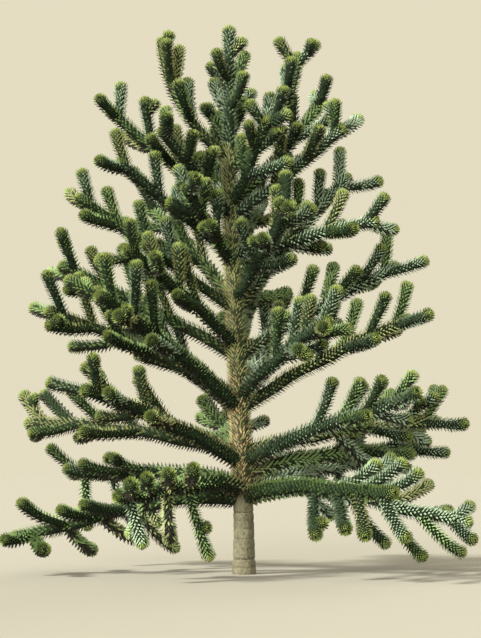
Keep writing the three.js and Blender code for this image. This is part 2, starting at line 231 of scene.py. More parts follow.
def point_on(points, share):
    f = min(1, max(0, share)) * (len(points) - 1)
    i = min(math.floor(f), len(points) - 2)
    return points[i] + (points[i + 1] - points[i]) * (f - i)


def direction_on(points, share):
    step = 0.5 / (len(points) - 1)
    return unit(point_on(points, share + step) - point_on(points, share - step))


def forked(tangent, roll, angle):
    """The way a side shoot leaves its parent, rolled round it and opened from it."""
    flat = np.array([1.0, 0, 0])
    if abs(tangent[2]) <= 0.97:
        flat = unit(np.cross(tangent, (0, 0, 1)))
    up = np.cross(flat, tangent)
    side = flat * math.cos(roll) + up * math.sin(roll)
    return unit(tangent * math.cos(angle) + side * math.sin(angle))


def side_shoot(start, heading, length, lift, steps):
    """A line that starts on its heading and bends upwards."""
    points = [start]
    for i in range(steps):
        t = (i + 0.5) / steps
        bent = unit(heading + np.array([0, 0, lift * t * t]))
        points.append(points[-1] + bent * (length / steps))
    return np.array(points)


def space_of(points, root, tip, plain):
    """Balls along a limb that fill the space it takes, leaves and all."""
    balls = []
    steps = len(points) - 1
    for i in range(steps):
        length = np.linalg.norm(points[i + 1] - points[i])
        parts = max(1, math.floor(length / SPACE_PITCH))
        for j in range(parts):
            t = (i + j / parts) / steps
            p = points[i] + (points[i + 1] - points[i]) * (j / parts)
            leafy = root + (tip - root) * t
            balls.append((*p, leafy * ROOT_SHARE if t * steps * length < plain else leafy))
    balls.append((*points[-1], tip))
    return np.array(balls)


def distances_along(line):
    """Distance of each point of a line from its first."""
    return np.concatenate([[0], np.cumsum(np.linalg.norm(np.diff(line, axis=0), axis=1))])


def is_clear(balls, others, gap):
    """Whether all the balls keep a gap to the others."""
    away = balls[:, None, :3] - others[None, :, :3]
    reach = balls[:, None, 3] + others[None, :, 3] + gap
    return ((away * away).sum(-1) > reach * reach).all()


def near_to(point, others, reach):
    """The balls that anything within reach of the point could touch."""
    away = others[:, :3] - point
    return others[(away * away).sum(-1) < (reach + NEARBY) ** 2]


def is_within_reach(points):
    """Whether a shoot keeps off the ground and inside the tree's height and width."""
    heights = points[:, 2]
    upright = heights.min() >= LOWEST and heights.max() <= TREE_HEIGHT - TOP_MARGIN
    return upright and REACH_LEFT <= points[-1][0] <= REACH_RIGHT


def lay_boughs():
    """The boughs of every whorl, and the leader."""
    boughs = []
    for w, (at, rise, pairs, lift, opening, hanging, members) in enumerate(WHORLS):
        for b, (turn, reach, tilt) in enumerate(members):
            seed = len(boughs) + 1
            height = at + (BOUGH_STAGGER if b % 2 else -BOUGH_STAGGER)
            swing = spread(seed + 0.3, -SWING, SWING)
            line = bough_axis(height, turn, reach, [degrees + tilt for degrees in rise], swing)
            root = max(OUTER_LEAST, OUTER_PER_TRUNK * trunk_radius(height))
            boughs.append(Limb(
                "bough", line, root, OUTER_TIP, 1, seed, whorl=w, reach=reach,
                pairs=pairs, lift=lift, opening=opening, hanging=hanging, last=LAST_SHARE, plain=PLAIN_ROOT,
                first=FIRST_SHARE if w < SPLIT_WHORLS else FIRST_SHARE_HIGH,
            ))
    rise = TREE_HEIGHT - TRUNK_TOP
    line = [trunk_axis(TRUNK_TOP + rise * i / LEADER_STEPS) for i in range(LEADER_STEPS + 1)]
    boughs.append(Limb(
        "leader", line, LEADER_RADIUS, OUTER_TIP, 1, LEADER_SEED, whorl=len(WHORLS), reach=LEADER_REACH,
        pairs=LEADER_PAIRS, lift=LEADER_LIFT, opening=None, hanging=0, last=LEADER_LAST, plain=0,
        first=LEADER_FIRST,
    ))
    return boughs


def shoot_plan(bough, k, side, share):
    """Roll, fork and length of one side shoot, before it looks for room."""
    seed = bough.seed * 7.7 + k * 2.3 + side * 0.9
    length = bough.reach * SHOOT_REACH + SHOOT_TAPER * (1 - share)
    length *= spread(seed + 0.2, *SHOOT_SPREAD)
    if bough.kind == "leader":
        return (k - LEADER_PAIRS + 1) * LEADER_TURN, LEADER_FORK, length + SHOOT_LEAST
    hangs = bough.hanging if side == 0 else 0
    fork = spread(seed + 0.1, *(FORK_HANGING if hangs else FORK))
    if hangs:
        fork -= HANG_LEAN * direction_on(bough.line, 0.5)[0]
    opening = bough.opening[side if bough.hanging else (side + k) % 2]
    return spread(seed, *opening), fork, (length + SHOOT_LEAST) * (hangs or 1)


def place_shoot(bough, plan, side, start, tangent, others):
    """The first try that has room: twisted round its bough, and then shorter."""
    roll, fork, length = plan
    for shorter in SHORTER:
        for twist in TWISTS:
            opened = roll + twist
            if side:
                opened = 180 + opened if bough.kind == "leader" else 180 - opened
            heading = forked(tangent, math.radians(opened), math.radians(fork))
            points = side_shoot(start, heading, length * shorter, bough.lift, SHOOT_STEPS)
            balls = space_of(points, SHOOT_ROOT, SHOOT_TIP, 0)
            far = balls[len(balls) // 3:]
            if not is_within_reach(points):
                continue
            if is_clear(balls, others, SHOOT_GAP) and is_clear(far, bough.balls, SHOOT_OVERLAP):
                return points, balls
    return None


def space_of_others(bough, boughs, trunk_balls):
    """Balls that fill the space of the trunk and of every other bough."""
    return np.vstack([trunk_balls] + [
        part for other in boughs if other is not bough for part in (other.space, other.balls)
    ])


def grow_shoots(boughs):
    """The boughs take turns to put out side shoots, where there is room."""
    trunk_balls = np.array([
        (*trunk_axis(z), trunk_radius(z) + SCALE_STAND + SHOOT_GAP)
        for z in range(0, TRUNK_TOP, TRUNK_SPACE_PITCH)
    ])
    for bough in boughs:
        bough.space = space_of(bough.line, bough.root, bough.tip, bough.plain)
        bough.balls = np.zeros((0, 4))
    most = max(bough.pairs for bough in boughs)
    for k, bough in [(k, bough) for k in range(most) for bough in boughs if k < bough.pairs]:
        share = bough.first + (bough.last - bough.first) * k / (bough.pairs - 1)
        start, tangent = point_on(bough.line, share), direction_on(bough.line, share)
        others = space_of_others(bough, boughs, trunk_balls)
        for side in (0, 1):
            plan = shoot_plan(bough, k, side, share)
            near = near_to(start, others, plan[2])
            placed = place_shoot(bough, plan, side, start, tangent, near)
            if placed:
                points, balls = placed
                seed = bough.seed * 3.1 + k * 1.7 + side
                bough.bear(Limb("shoot", points, SHOOT_ROOT, SHOOT_TIP, 2, seed, lift=bough.lift))
                bough.balls = np.vstack([bough.balls, balls])
    return trunk_balls


def grow_twigs(boughs, trunk_balls):
    """Short twigs fork off the longer side shoots, within the same reach."""
    for bough in boughs:
        others = space_of_others(bough, boughs, trunk_balls)
        for shoot in bough.children:
            if distances_along(shoot.line)[-1] < TWIG_FROM:
                continue
            for side, share in enumerate(TWIG_SHARES):
                seed = shoot.seed * 5.3 + side * 1.9
                if chance(seed + 0.7) > TWIG_CHANCE:
                    continue
                start, tangent = point_on(shoot.line, share), direction_on(shoot.line, share)
                reach = spread(seed + 0.4, *TWIG_LENGTH)
                own = near_to(start, np.vstack([bough.space, bough.balls]), reach)
                near = near_to(start, others, reach)
                for twist in TWISTS[:TWIG_TRIES]:
                    opened = spread(seed, *TWIG_OPENING) + twist
                    roll = math.radians(180 - opened if side else opened)
                    heading = forked(tangent, roll, math.radians(spread(seed + 0.2, *TWIG_FORK)))
                    points = side_shoot(start, heading, reach, shoot.lift, TWIG_STEPS)
                    if not is_within_reach(points):
                        continue
                    balls = space_of(points, TWIG_RADIUS, TWIG_RADIUS, 0)
                    if is_clear(balls, near, TWIG_GAP) and is_clear(balls[-2:], own, TWIG_OVERLAP):
                        shoot.bear(Limb("twig", points, TWIG_RADIUS, TWIG_RADIUS, 3, seed))
                        bough.balls = np.vstack([bough.balls, balls])
                        break


def grow_tree():
    """Every limb of the tree, boughs before their shoots and twigs."""
    boughs = lay_boughs()
    grow_twigs(boughs, grow_shoots(boughs))
    limbs = []
    for bough in boughs:
        limbs.append(bough)
        for shoot in bough.children:
            limbs.append(shoot)
            limbs.extend(shoot.children)
    for limb in limbs:
        bend(limb)
    return limbs


# The form of a living limb

LINE_STEP = 8
LEAF_AHEAD = 20  # how far the last leaves stand beyond the wood
DOME = 34  # length of the rounded end of the wood
FULLER = 1.1  # the leaves' girth over the solids'
TIP_SHARE = 0.97  # girth of a tip over the limb's own
TIP_TAPER = 110  # length over which the girth draws in
WANDER = {"leader": 0, "bough": 9, "shoot": 5, "twig": 2}  # how far limbs wander off their line
WANDER_LENGTH = 95
TWIG_LEAF = 0.94  # length of a twig's leaves over that of the others
LEAF_SHOWN = 0.93  # share of a leaf's stand that counts in the girth
CORE_STEP = 12.0


def bend(limb):
    """Gives the limb a smooth line with a little wander, and its frames."""
    p = np.vstack([2 * limb.line[0] - limb.line[1], limb.line, 2 * limb.line[-1] - limb.line[-2]])
    runs = []
    for i in range(1, len(p) - 2):
        parts = max(2, round(np.linalg.norm(p[i + 1] - p[i]) / LINE_STEP))
        t = np.linspace(0, 1, parts, endpoint=False)[:, None]
        a, b, c, d = p[i - 1:i + 3]
        runs.append(0.5 * (2 * b + (c - a) * t + (2 * a - 5 * b + 4 * c - d) * t ** 2
                           + (3 * b - a - 3 * c + d) * t ** 3))
    runs.append(limb.line[-1:])
    line = np.vstack(runs)
    reached = distances_along(line)
    fade = np.sin(math.pi * reached / reached[-1])
    sideways = unit(np.cross(limb.line[-1] - limb.line[0], (0.1, 0.2, 1)))
    for axis, turn in ((np.array([0, 0, 1.0]), 0.31), (sideways, 0.77)):
        wave = np.sin(reached / WANDER_LENGTH + 6.28 * chance(limb.seed + turn)) * fade
        line = line + WANDER[limb.kind] * wave[:, None] * axis
    reached = distances_along(line)
    along = unit(np.gradient(line, axis=0))
    across = np.zeros_like(along)
    guide = np.array([1.0, 0, 0]) if abs(along[0][2]) > 0.9 else np.cross((0, 0, 1), along[0])
    for i, way in enumerate(along):
        guide = unit(guide - way * guide.dot(way))
        across[i] = guide
    limb.curve, limb.reached, limb.whole = line, reached, reached[-1]
    limb.along, limb.across = along, across


def leaf_length(limb, behind):
    """Length of the leaves at a distance behind the limb's tip."""
    full = np.interp(behind, (0, 60, 220, 800), (23, 32, 40, 45))
    return full * (TWIG_LEAF if limb.kind == "twig" else 1)


def leaf_opening(behind):
    """Degrees from the limb to its leaves at a distance behind its tip."""
    return np.interp(behind, (20, 26, 36, 54, 100, 220, 800), (2, 14, 27, 39, 47, 50, 52))


def leaf_bend(behind):
    """How far a leaf's point bends outwards, over its length."""
    return np.interp(behind, (0, 40, 120, 800), (-0.04, 0.04, 0.12, 0.16))


def leaf_spacing(behind):
    """Distance between leaves at a distance behind the tip."""
    return np.interp(behind, (20, 35, 60, 200, 800), (10.3, 15.4, 19.6, 23.6, 26.4))


def core_radius(limb, at):
    """Radius of the wood with its leaf bases, at a distance along the limb."""
    behind = limb.whole - at
    foot = np.maximum(behind, DOME + LEAF_AHEAD)
    outer = FULLER * (limb.root + (limb.tip - limb.root) * (limb.whole - foot) / limb.whole)
    outer = outer * np.interp(foot, (DOME, TIP_TAPER), (TIP_SHARE, 1))
    opening = np.radians(leaf_opening(foot))
    stand = leaf_length(limb, foot) * (np.sin(opening) + leaf_bend(foot) * np.cos(opening))
    full = outer - stand * LEAF_SHOWN
    left = np.clip((behind - LEAF_AHEAD) / DOME, 0, 1)
    return full * np.sqrt(1 - (1 - left) ** 2)


def on_limb(limb, at):
    """Middle point and frame at distances along the limb."""
    def mixed(values):
        return np.stack([np.interp(at, limb.reached, values[:, i]) for i in range(3)], axis=1)

    along = unit(mixed(limb.along))
    across = mixed(limb.across)
    across = unit(across - along * (across * along).sum(1, keepdims=True))
    return mixed(limb.curve), along, across, np.cross(along, across)


def inside_core(points, limb, share, most=math.inf):
    """Which points lie within a share of the limb's wood."""
    at = np.arange(0, min(most, limb.whole), CORE_STEP)
    middle = on_limb(limb, at)[0]
    radius = core_radius(limb, at) * share
    away = ((points[:, None] - middle[None]) ** 2).sum(-1)
    return (away < radius[None] ** 2).any(1)


def inside_trunk(points):
    """Which points lie within the trunk."""
    z = points[:, 2]
    return (np.hypot(points[:, 0] - trunk_lean(z), points[:, 1]) < trunk_radius(z)) & (z < TRUNK_TOP)


LIMBS = grow_tree()

# Settings


def colour(name, about, value):
    return FloatVectorProperty(name=name, description=about, subtype="COLOR", min=0, max=1, default=value)


def number(name, about, value, least=0, **more):
    return FloatProperty(name=name, description=about, default=value, min=least, **more)


class LeafSettings(bpy.types.PropertyGroup):
    """Shape of a leaf."""

    width: number("Width", "Width over length of a leaf", 0.42, 0.1, subtype="FACTOR", max=1)
    keel: number("Keel", "Thickness of a leaf at its keel", 0.006, subtype="DISTANCE", unit="LENGTH")
    jitter: number(
        "Jitter", "Most that a leaf turns off the pattern", math.radians(5),
        subtype="ANGLE", unit="ROTATION", max=1)


class LeafColours(bpy.types.PropertyGroup):
    """Colours of the leaves by age and spray, some of them dark as painted shade."""

    fresh: colour("Fresh", "Leaves that close a growing tip", (0.166, 0.21, 0.05))
    young: colour("Young", "Leaves just behind the tips", (0.185, 0.245, 0.08))
    bright: colour("Bright", "Sprays of the upper crown", (0.206, 0.308, 0.112))
    # Deep: a dark green that whole sprays take as their own tone, and that is also dealt as painted shade
    # to single leaves towards the inner crown and to the trunk's right-hand scales
    deep: colour("Deep", "Sprays of the inner crown", (0.035, 0.06, 0.024))
    cool: colour("Cool", "Blue-green sprays", (0.24, 0.32, 0.21))
    dull: colour("Dull", "Olive sprays", (0.275, 0.3, 0.122))
    # Painted shade: a near-black for the leaves on the undersides of the limbs
    under: colour("Under", "Leaves on the shaded undersides", (0.022, 0.019, 0.012))
    old: colour("Old", "Leaves on the boughs near the trunk", (0.17, 0.175, 0.075))
    straw: colour("Straw", "Dry scale leaves of the lower trunk", (0.56, 0.46, 0.23))
    brown: colour("Brown", "Weathered scale leaves of the lower trunk", (0.2, 0.12, 0.045))
    olive: colour("Olive", "Scale leaves half way up the trunk", (0.3, 0.33, 0.125))


class BarkColours(bpy.types.PropertyGroup):
    """Colours of the bark and wood."""

    pale: colour("Pale bark", "Bare stem", (0.158, 0.146, 0.088))
    grey: colour("Grey bark", "Weathered patches of the bare stem", (0.09, 0.082, 0.045))
    crack: colour("Cracks", "Ring lines, dashes and knots", (0.02, 0.016, 0.008))
    # Painted shade: the dark bark seen in the gaps between the scale leaves
    under: colour("Under the scales", "Bark between the scale leaves", (0.03, 0.028, 0.011))
    # Twig bark and its patches: partly real green bark, partly painted shade, kept near black to stand for
    # the shadow in the gaps between leaves
    twig: colour("Twigs", "Green bark of twigs and leaf bases", (0.016, 0.03, 0.013))
    shade: colour("Twig patches", "Darker patches of the green bark", (0.006, 0.011, 0.005))


class StudioSettings(bpy.types.PropertyGroup):
    """Floor, light and camera."""

    floor: colour("Floor", "Plain pale floor", (0.2688, 0.2588, 0.2193))
    air: colour("Backdrop", "Pale light that comes from all round", (0.78, 0.72, 0.54))
    key: number("Key light", "Strength of the soft key light from the left", 8.2)
    fill: number("Fill light", "Strength of the soft fill light from the front", 3.7)
    back: number("Back light", "Strength of the soft light from behind", 2.6)
    lens: number("Lens", "Focal length of the camera", 103.5, 10, unit="CAMERA")


# Materials


class Wire:
    """A socket that Python's operators join to Math nodes."""

    def __init__(self, maker, socket):
        self.maker, self.socket = maker, socket

    def math(self, operation, *others):
        return self.maker.node("ShaderNodeMath", {"operation": operation}, [self, *others])

    def __add__(self, other):
        return self.math("ADD", other)

    def __sub__(self, other):
        return self.math("SUBTRACT", other)

    def __mul__(self, other):
        return self.math("MULTIPLY", other)

    def __rsub__(self, other):
        return self.maker.node("ShaderNodeMath", {"operation": "SUBTRACT"}, [other, self])

    __radd__, __rmul__ = __add__, __mul__


class Finish:
    """A material under construction."""

    def __init__(self, name):
        self.material = bpy.data.materials.new(name)
        self.material.use_nodes = True
        self.tree = self.material.node_tree
        self.tree.nodes.clear()
        out = self.tree.nodes.new("ShaderNodeOutputMaterial")
        self.shader = self.tree.nodes.new("ShaderNodeBsdfPrincipled")
        self.tree.links.new(self.shader.outputs[0], out.inputs[0])

    def node(self, kind, settings, sockets, output=0):
        """Any node: its type, its settings, and the values or links of its sockets."""
        made = self.tree.nodes.new(kind)
        for key, value in settings.items():
            setattr(made, key, value)
        pairs = sockets.items() if isinstance(sockets, dict) else enumerate(sockets)
        for key, value in pairs:
            self.put(made.inputs[key], value)
        return Wire(self, made.outputs[output])

    def put(self, socket, value):
        if isinstance(value, Wire):
            self.tree.links.new(value.socket, socket)
        else:
            socket.default_value = value

    def set(self, **sockets):
        """Fills sockets of the surface and gives the finished material."""
        for key, value in sockets.items():
            self.put(self.shader.inputs[key.replace("_", " ")], value)
        return self.material

    def dim(self, level):
        """Lowers the gloss that every plain surface has."""
        self.shader.inputs["Specular IOR Level"].default_value = level

    def place(self, stretch=(1, 1, 1)):
        """Place on the object, stretched along its axes."""
        spot = self.node("ShaderNodeTexCoord", {}, [], 3)
        return self.node("ShaderNodeMapping", {}, {"Vector": spot, "Scale": stretch})

    def noise(self, place, scale, detail=3.0, rough=0.55):
        return self.node("ShaderNodeTexNoise", {}, {
            "Vector": place, "Scale": scale, "Detail": detail, "Roughness": rough})

    def mix(self, share, first, second):
        first, second = (tint if isinstance(tint, Wire) else (*tint, 1) for tint in (first, second))
        return self.node("ShaderNodeMix", {"data_type": "RGBA"}, {"Factor": share, 6: first, 7: second}, 2)

    def ramp(self, value, low, high, to_low=0.0, to_high=1.0):
        smooth = {"interpolation_type": "SMOOTHSTEP"}
        return self.node("ShaderNodeMapRange", smooth, [value, low, high, to_low, to_high])

    def bump(self, height, strength, distance):
        return self.node("ShaderNodeBump", {}, {
            "Height": height, "Strength": strength, "Distance": distance})


def bark_finish(tints):
    """Bare grey bark with ring lines, dashes and knots, darker where the scale leaves stand as painted
    shade between them.
    """
    bark = Finish("monkey_puzzle_bark")
    place = bark.place()
    height = bark.node("ShaderNodeSeparateXYZ", {}, [place], 2)
    patches = bark.noise(place, 10, 4)
    mottle = bark.noise(place, 48, 4)
    streaks = bark.noise(bark.place((80, 80, 12)), 1, 4)
    dashes = bark.noise(bark.place((78, 78, 24)), 1, 2)
    wrinkles = bark.noise(bark.place((14, 14, 120)), 1, 3)
    grain = bark.noise(place, 210, 3)
    weathered = bark.ramp(patches * 0.35 + mottle * 0.35 + streaks * 0.3, 0.42, 0.58)
    base = bark.mix(weathered, tints.grey, tints.pale)
    for marks, low, high, share, tint in (
        (wrinkles, 0.54, 0.66, 0.55, tints.grey),
        (dashes, 0.6, 0.66, 0.8, tints.crack),
        (grain, 0.35, 0.75, 0.3, tints.grey),
    ):
        base = bark.mix(bark.ramp(marks, low, high) * share, base, tint)
    wobble = bark.noise(place, 14, 2)
    broken = bark.ramp(bark.noise(place, 26, 2), 0.38, 0.5)
    for ring, width, depth in RINGS:
        off = (height - ring * MM + (wobble - 0.5) * 0.02).math("ABSOLUTE")
        line = (1 - bark.ramp(off, 0.0, width * MM)) * broken * depth
        base = bark.mix(line, base, tints.crack)
    # Painted shade between the scale leaves: the bark darkens where they stand
    painted_shade_under_scales = bark.ramp(height + (patches - 0.5) * 0.12, 0.585, 0.66)
    base = bark.mix(painted_shade_under_scales, base, tints.under)
    relief = streaks * 0.35 + mottle * 0.3 + wrinkles * 0.2 + grain * 0.15 - dashes * 0.3
    return bark.set(
        Base_Color=base, Roughness=bark.ramp(patches, 0.2, 0.8, 0.72, 0.92),
        Normal=bark.bump(relief, 0.9, 0.006),
    )


def wood_finish(tints):
    """Green bark of boughs and twigs, between the leaf bases, kept near black as painted shade in the gaps
    between the leaves.
    """
    wood = Finish("green_twig_bark")
    wood.dim(0.1)
    place = wood.place()
    patches = wood.noise(place, 30, 3)
    base = wood.mix(wood.ramp(patches, 0.35, 0.7), tints.twig, tints.shade)
    relief = wood.bump(wood.noise(place, 150, 2), 0.4, 0.003)
    return wood.set(Base_Color=base, Roughness=0.8, Normal=relief)


def leaf_finish(name, tint, rough):
    """A stiff leathery leaf of one colour."""
    leaf = Finish(name)
    leaf.dim(0.35)
    return leaf.set(Base_Color=(*tint, 1), Roughness=rough)


# Meshes


def deselect():
    bpy.ops.object.select_all(action="DESELECT")


def piece_from(name, points, faces, material, smooth):
    """One object with its place in its mesh, from arrays in millimetres."""
    mesh = bpy.data.meshes.new(name)
    mesh.vertices.add(len(points))
    mesh.vertices.foreach_set("co", (points * MM).astype(np.float32).ravel())
    mesh.loops.add(faces.size)
    mesh.loops.foreach_set("vertex_index", faces.astype(np.int32).ravel())
    mesh.polygons.add(len(faces))
    mesh.polygons.foreach_set("loop_start", np.arange(0, faces.size, faces.shape[1], dtype=np.int32))
    mesh.polygons.foreach_set("use_smooth", np.full(len(faces), smooth))
    mesh.update(calc_edges=True)
    mesh.materials.append(material)
    piece = bpy.data.objects.new(name, mesh)
    bpy.context.scene.collection.objects.link(piece)
    return piece


def place_in_frame(piece, nodes):
    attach(piece, "root")
    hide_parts(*nodes)


def tier_of(whorl):
    return "lower" if whorl < SPLIT_WHORLS else "upper"


def nodes_like(start, tier=None):
    """Nodes of one kind, all or those of one tier of the crown."""
    found = []
    for name in sorted(frame["nodes"]):
        if name.startswith(start):
            member = name[len(start):]
            whorl = int(member[0]) - 1 if member[0].isdigit() else len(WHORLS)
            if tier in (None, tier_of(whorl)):
                found.append(name)
    return found


# One leaf: its base, its left and right edge, its fold and keel at its widest, and its point
LEAF_FACES = np.array([
    (0, 2, 3), (0, 3, 1), (5, 3, 2), (5, 1, 3),
    (0, 1, 4), (0, 4, 2), (5, 4, 1), (5, 2, 4),
])
LEAF_WIDEST = 0.42
LEAF_FOLD = 0.35  # depth of the fold, over the keel's
LEAF_SUNK = 6

# How far the crown reaches out from the trunk at some heights
CROWN_HEIGHTS = (600, 2000, 3400, 4500)
CROWN_RADII = (1900, 1600, 1000, 350)

# Each green, how many sprays have it or one before it at the left, and how many more at the right
SPRAYS = (("bright", 0.5, -0.28), ("cool", 0.51, 0.37), ("dull", 0.86, 0.12), ("deep", 1, 0))

# Dark leaves among the others as painted shade, thickest near the trunk: their chances from the trunk
# outwards, and fewer of them to the right
PAINTED_SHADE_OUTWARD = (0.1, 0.5, 0.9)
PAINTED_SHADE_CHANCES = (0.4, 0.23, 0.11)
PAINTED_SHADE_LEFT, PAINTED_SHADE_LESS = 1.3, 1.0

# How far from the tip, or of the old ones from the foot, and what chance adds
FRESH_DEPTH = (30, 24)
YOUNG_DEPTH = (45, 45)
OLD_DEPTH = (120, 330)
OLD_WHORLS = 6

# Leaves darkened as painted shade on the undersides: from which slope down, how fast, at most how many, how
# far behind the tip
SHADOWED_FROM, SHADOWED_RANGE, SHADOWED_MOST, SHADOWED_BEHIND = 0.15, 0.5, 0.75, 90
# How much of that painted shade at the left, and how much less of it to the right
SHADOWED_LEFT, SHADOWED_LESS = 1.25, 0.75


def leaf_points(base, way, face, size, width, keel, curl):
    """The points of leaves, from their bases, pointing ways, upper faces and sizes."""
    side = np.cross(way, face)
    start = base - way * LEAF_SUNK
    middle = start + way * (size * LEAF_WIDEST)[:, None]
    half = side * (width / 2)[:, None]
    deep = face * keel[:, None]
    point = start + way * size[:, None] + face * (size * curl)[:, None]
    return np.stack(
        [start, middle - half, middle + half, middle - deep * LEAF_FOLD, middle - deep, point], axis=1)


def leaf_mesh(parts):
    """Points and triangles of all the leaves of one piece."""
    points = np.concatenate(parts)
    starts = np.arange(len(points)) * points.shape[1]
    return points.reshape(-1, 3), (LEAF_FACES + starts[:, None, None]).reshape(-1, 3)


def opened_leaf(along, radial, opening):
    """Pointing ways and upper faces of leaves that open from a stem by some angles."""
    return turned(along, radial, opening), turned(-radial, along, opening)


def deal_out(kinds, tier, kind, keep, leaves):
    """Adds the leaves that are kept to the piece of their kind and tier."""
    for name in np.unique(kind):
        pick = keep & (kind == name)
        if pick.any():
            points = leaf_points(*(values[pick] for values in leaves))
            kinds.setdefault((str(name), tier), []).append(points)


def leaf_kinds(limb, behind, at, base, down, dice):
    """The kind of each leaf: its age by place, its spray's own green, and dark leaves dealt as painted
    shade.
    """
    shade = chance(limb.seed * 1.7 + 0.11)
    right = 0.5 + 0.5 * limb.line[-1][0] / REACH_RIGHT
    spray = next(kind for kind, left, more in SPRAYS if shade < left + more * right)
    count = len(behind)
    kinds = np.full(count, spray, dtype="<U8")
    # Dark leaves sprinkled as painted shade, more of them near the trunk and to the left
    outward = np.hypot(base[:, 0], base[:, 1]) / np.interp(base[:, 2], CROWN_HEIGHTS, CROWN_RADII)
    deep = np.interp(outward, PAINTED_SHADE_OUTWARD, PAINTED_SHADE_CHANCES) * (PAINTED_SHADE_LEFT - PAINTED_SHADE_LESS * right)
    kinds[dice.random(count) < deep] = "deep"
    kinds[behind < YOUNG_DEPTH[0] + YOUNG_DEPTH[1] * dice.random(count)] = "young"
    kinds[behind < FRESH_DEPTH[0] + FRESH_DEPTH[1] * dice.random(count)] = "fresh"
    if limb.kind == "bough" and limb.whorl < OLD_WHORLS:
        kinds[at < OLD_DEPTH[0] + OLD_DEPTH[1] * dice.random(count) ** 2] = "old"
    # Near-black leaves on the undersides as painted shade, fewer of them to the right
    under = np.clip((down - SHADOWED_FROM) / SHADOWED_RANGE, 0, SHADOWED_MOST) * np.clip(behind / SHADOWED_BEHIND, 0, 1)
    kinds[dice.random(count) < under * (SHADOWED_LEFT - SHADOWED_LESS * right)] = "under"
    return kinds


LEAF_SIZES = 0.24  # between the shortest and the longest leaf, over the usual one
ROLL_SHARE = 1.4  # how far leaves roll, over their jitter
TURN_SHARE = 0.5  # and how far they stray from the spiral
KEEL_BEHIND = (0, 200)
KEEL_SHARES = (0.7, 1)  # keel at these distances behind the tip, over the full one
IN_PARENT = 0.97  # no leaf stands within this share of the parent's wood
IN_CHILD = 0.9
CHILD_FOOT = 200  # length of a side limb that clears leaves away


def dress_limb(limb, kinds, settings):
    """Sets leaves round a limb in a golden spiral, closing over its tip."""
    grid = np.arange(0, limb.whole - LEAF_AHEAD, 2.0)
    radius = core_radius(limb, grid)
    run = np.hypot(np.diff(grid), np.diff(radius))
    middle = (grid[1:] + grid[:-1]) / 2
    rate = np.pi * (radius[1:] + radius[:-1]) * run / leaf_spacing(limb.whole - middle) ** 2
    count = np.concatenate([[0], np.cumsum(rate)])
    order = np.arange(int(count[-1]))
    at = np.interp(order + 0.5, count, grid)
    behind = limb.whole - at
    dice = np.random.default_rng(int(limb.seed * 1000) % 100003 + limb.order)

    def off(share=1.0):
        return (dice.random(len(order)) * 2 - 1) * settings.jitter * share

    turn = order * GOLDEN_TURN + off(TURN_SHARE)
    centre, along, across, over = on_limb(limb, at)
    radial = turned(across, over, turn)
    base = centre + radial * core_radius(limb, at)[:, None]
    way, face = opened_leaf(along, radial, np.radians(leaf_opening(behind)) + off())
    face = turned(face, np.cross(way, face), off(ROLL_SHARE))
    way = turned(way, np.cross(way, face), off())
    size = leaf_length(limb, behind) * (1 + (dice.random(len(order)) - 0.5) * LEAF_SIZES) + LEAF_SUNK
    width = size * settings.width
    keel = settings.keel / MM * np.interp(behind, KEEL_BEHIND, KEEL_SHARES)
    curl = -leaf_bend(behind)
    kind = leaf_kinds(limb, behind, at, base, -radial[:, 2], dice)
    keep = np.ones(len(order), bool)
    if limb.parent:
        keep &= ~inside_core(base, limb.parent, IN_PARENT)
    elif limb.kind == "bough":
        keep &= ~inside_trunk(base)
    for child in limb.children:
        keep &= ~inside_core(base, child, IN_CHILD, CHILD_FOOT)
    deal_out(kinds, tier_of(limb.whorl), kind, keep, (base, way, face, size, width, keel, curl))


DOME_RINGS = np.array((1, 0.78, 0.55, 0.33, 0.14, 0.03))  # from the dome's foot to its end
CUSHION_LEAST = 0.95  # radius of the wood between leaf cushions, over that of the leaf bases
CUSHION_RISE = 0.07


def wood_of(limb, sides, pitch):
    """A closed tube with leaf cushions in relief: points and triangles."""
    end = limb.whole - LEAF_AHEAD
    body = max(2, round((end - DOME) / pitch))
    at = np.concatenate([np.linspace(0, end - DOME, body, endpoint=False), end - DOME * DOME_RINGS])
    centre, along, across, over = on_limb(limb, at)
    radius = core_radius(limb, at)
    turn = np.arange(sides) * 2 * math.pi / sides
    turn = turn[None] + (np.arange(len(at)) % 2)[:, None] * math.pi / sides
    dice = np.random.default_rng(int(limb.seed * 977) % 100003)
    swell = radius[:, None] * (CUSHION_LEAST + CUSHION_RISE * dice.random((len(at), sides)))
    ring = (centre[:, None] + across[:, None] * (swell * np.cos(turn))[..., None]
            + over[:, None] * (swell * np.sin(turn))[..., None])
    count = len(at) * sides
    points = np.vstack([ring.reshape(-1, 3), centre[:1], centre[-1:] + along[-1:] * 2])
    faces = []
    for j in range(len(at) - 1):
        for i in range(sides):
            n = (i + 1) % sides
            a, b, c, d = j * sides + i, j * sides + n, (j + 1) * sides + n, (j + 1) * sides + i
            if j % 2:
                faces += [(a, b, c), (a, c, d)]
            else:
                faces += [(a, b, d), (b, c, d)]
    last = (len(at) - 1) * sides
    for i in range(sides):
        n = (i + 1) % sides
        faces += [(n, i, count), (last + i, last + n, count + 1)]
    return points, np.array(faces)


def joined(parts):
    """Points and faces of many parts as one pair of arrays."""
    points, faces, start = [], [], 0
    for some, tris in parts:
        points.append(some)
        faces.append(tris + start)
        start += len(some)
    return np.vstack(points), np.vstack(faces)


# The trunk

TRUNK_SIDES = 72
BARE_TOP = SCALES_FROM + 20
BARE_CUTS = 99
CLAD_CUTS = 70

# Height, width and depth of the ring lines
RINGS = (
    (500, 5.5, 1.0), (432, 3.0, 0.4), (372, 3.0, 0.5), (287, 3.5, 0.6),
    (208, 3.0, 0.45), (123, 5.5, 1.0), (58, 3.0, 0.5),
)

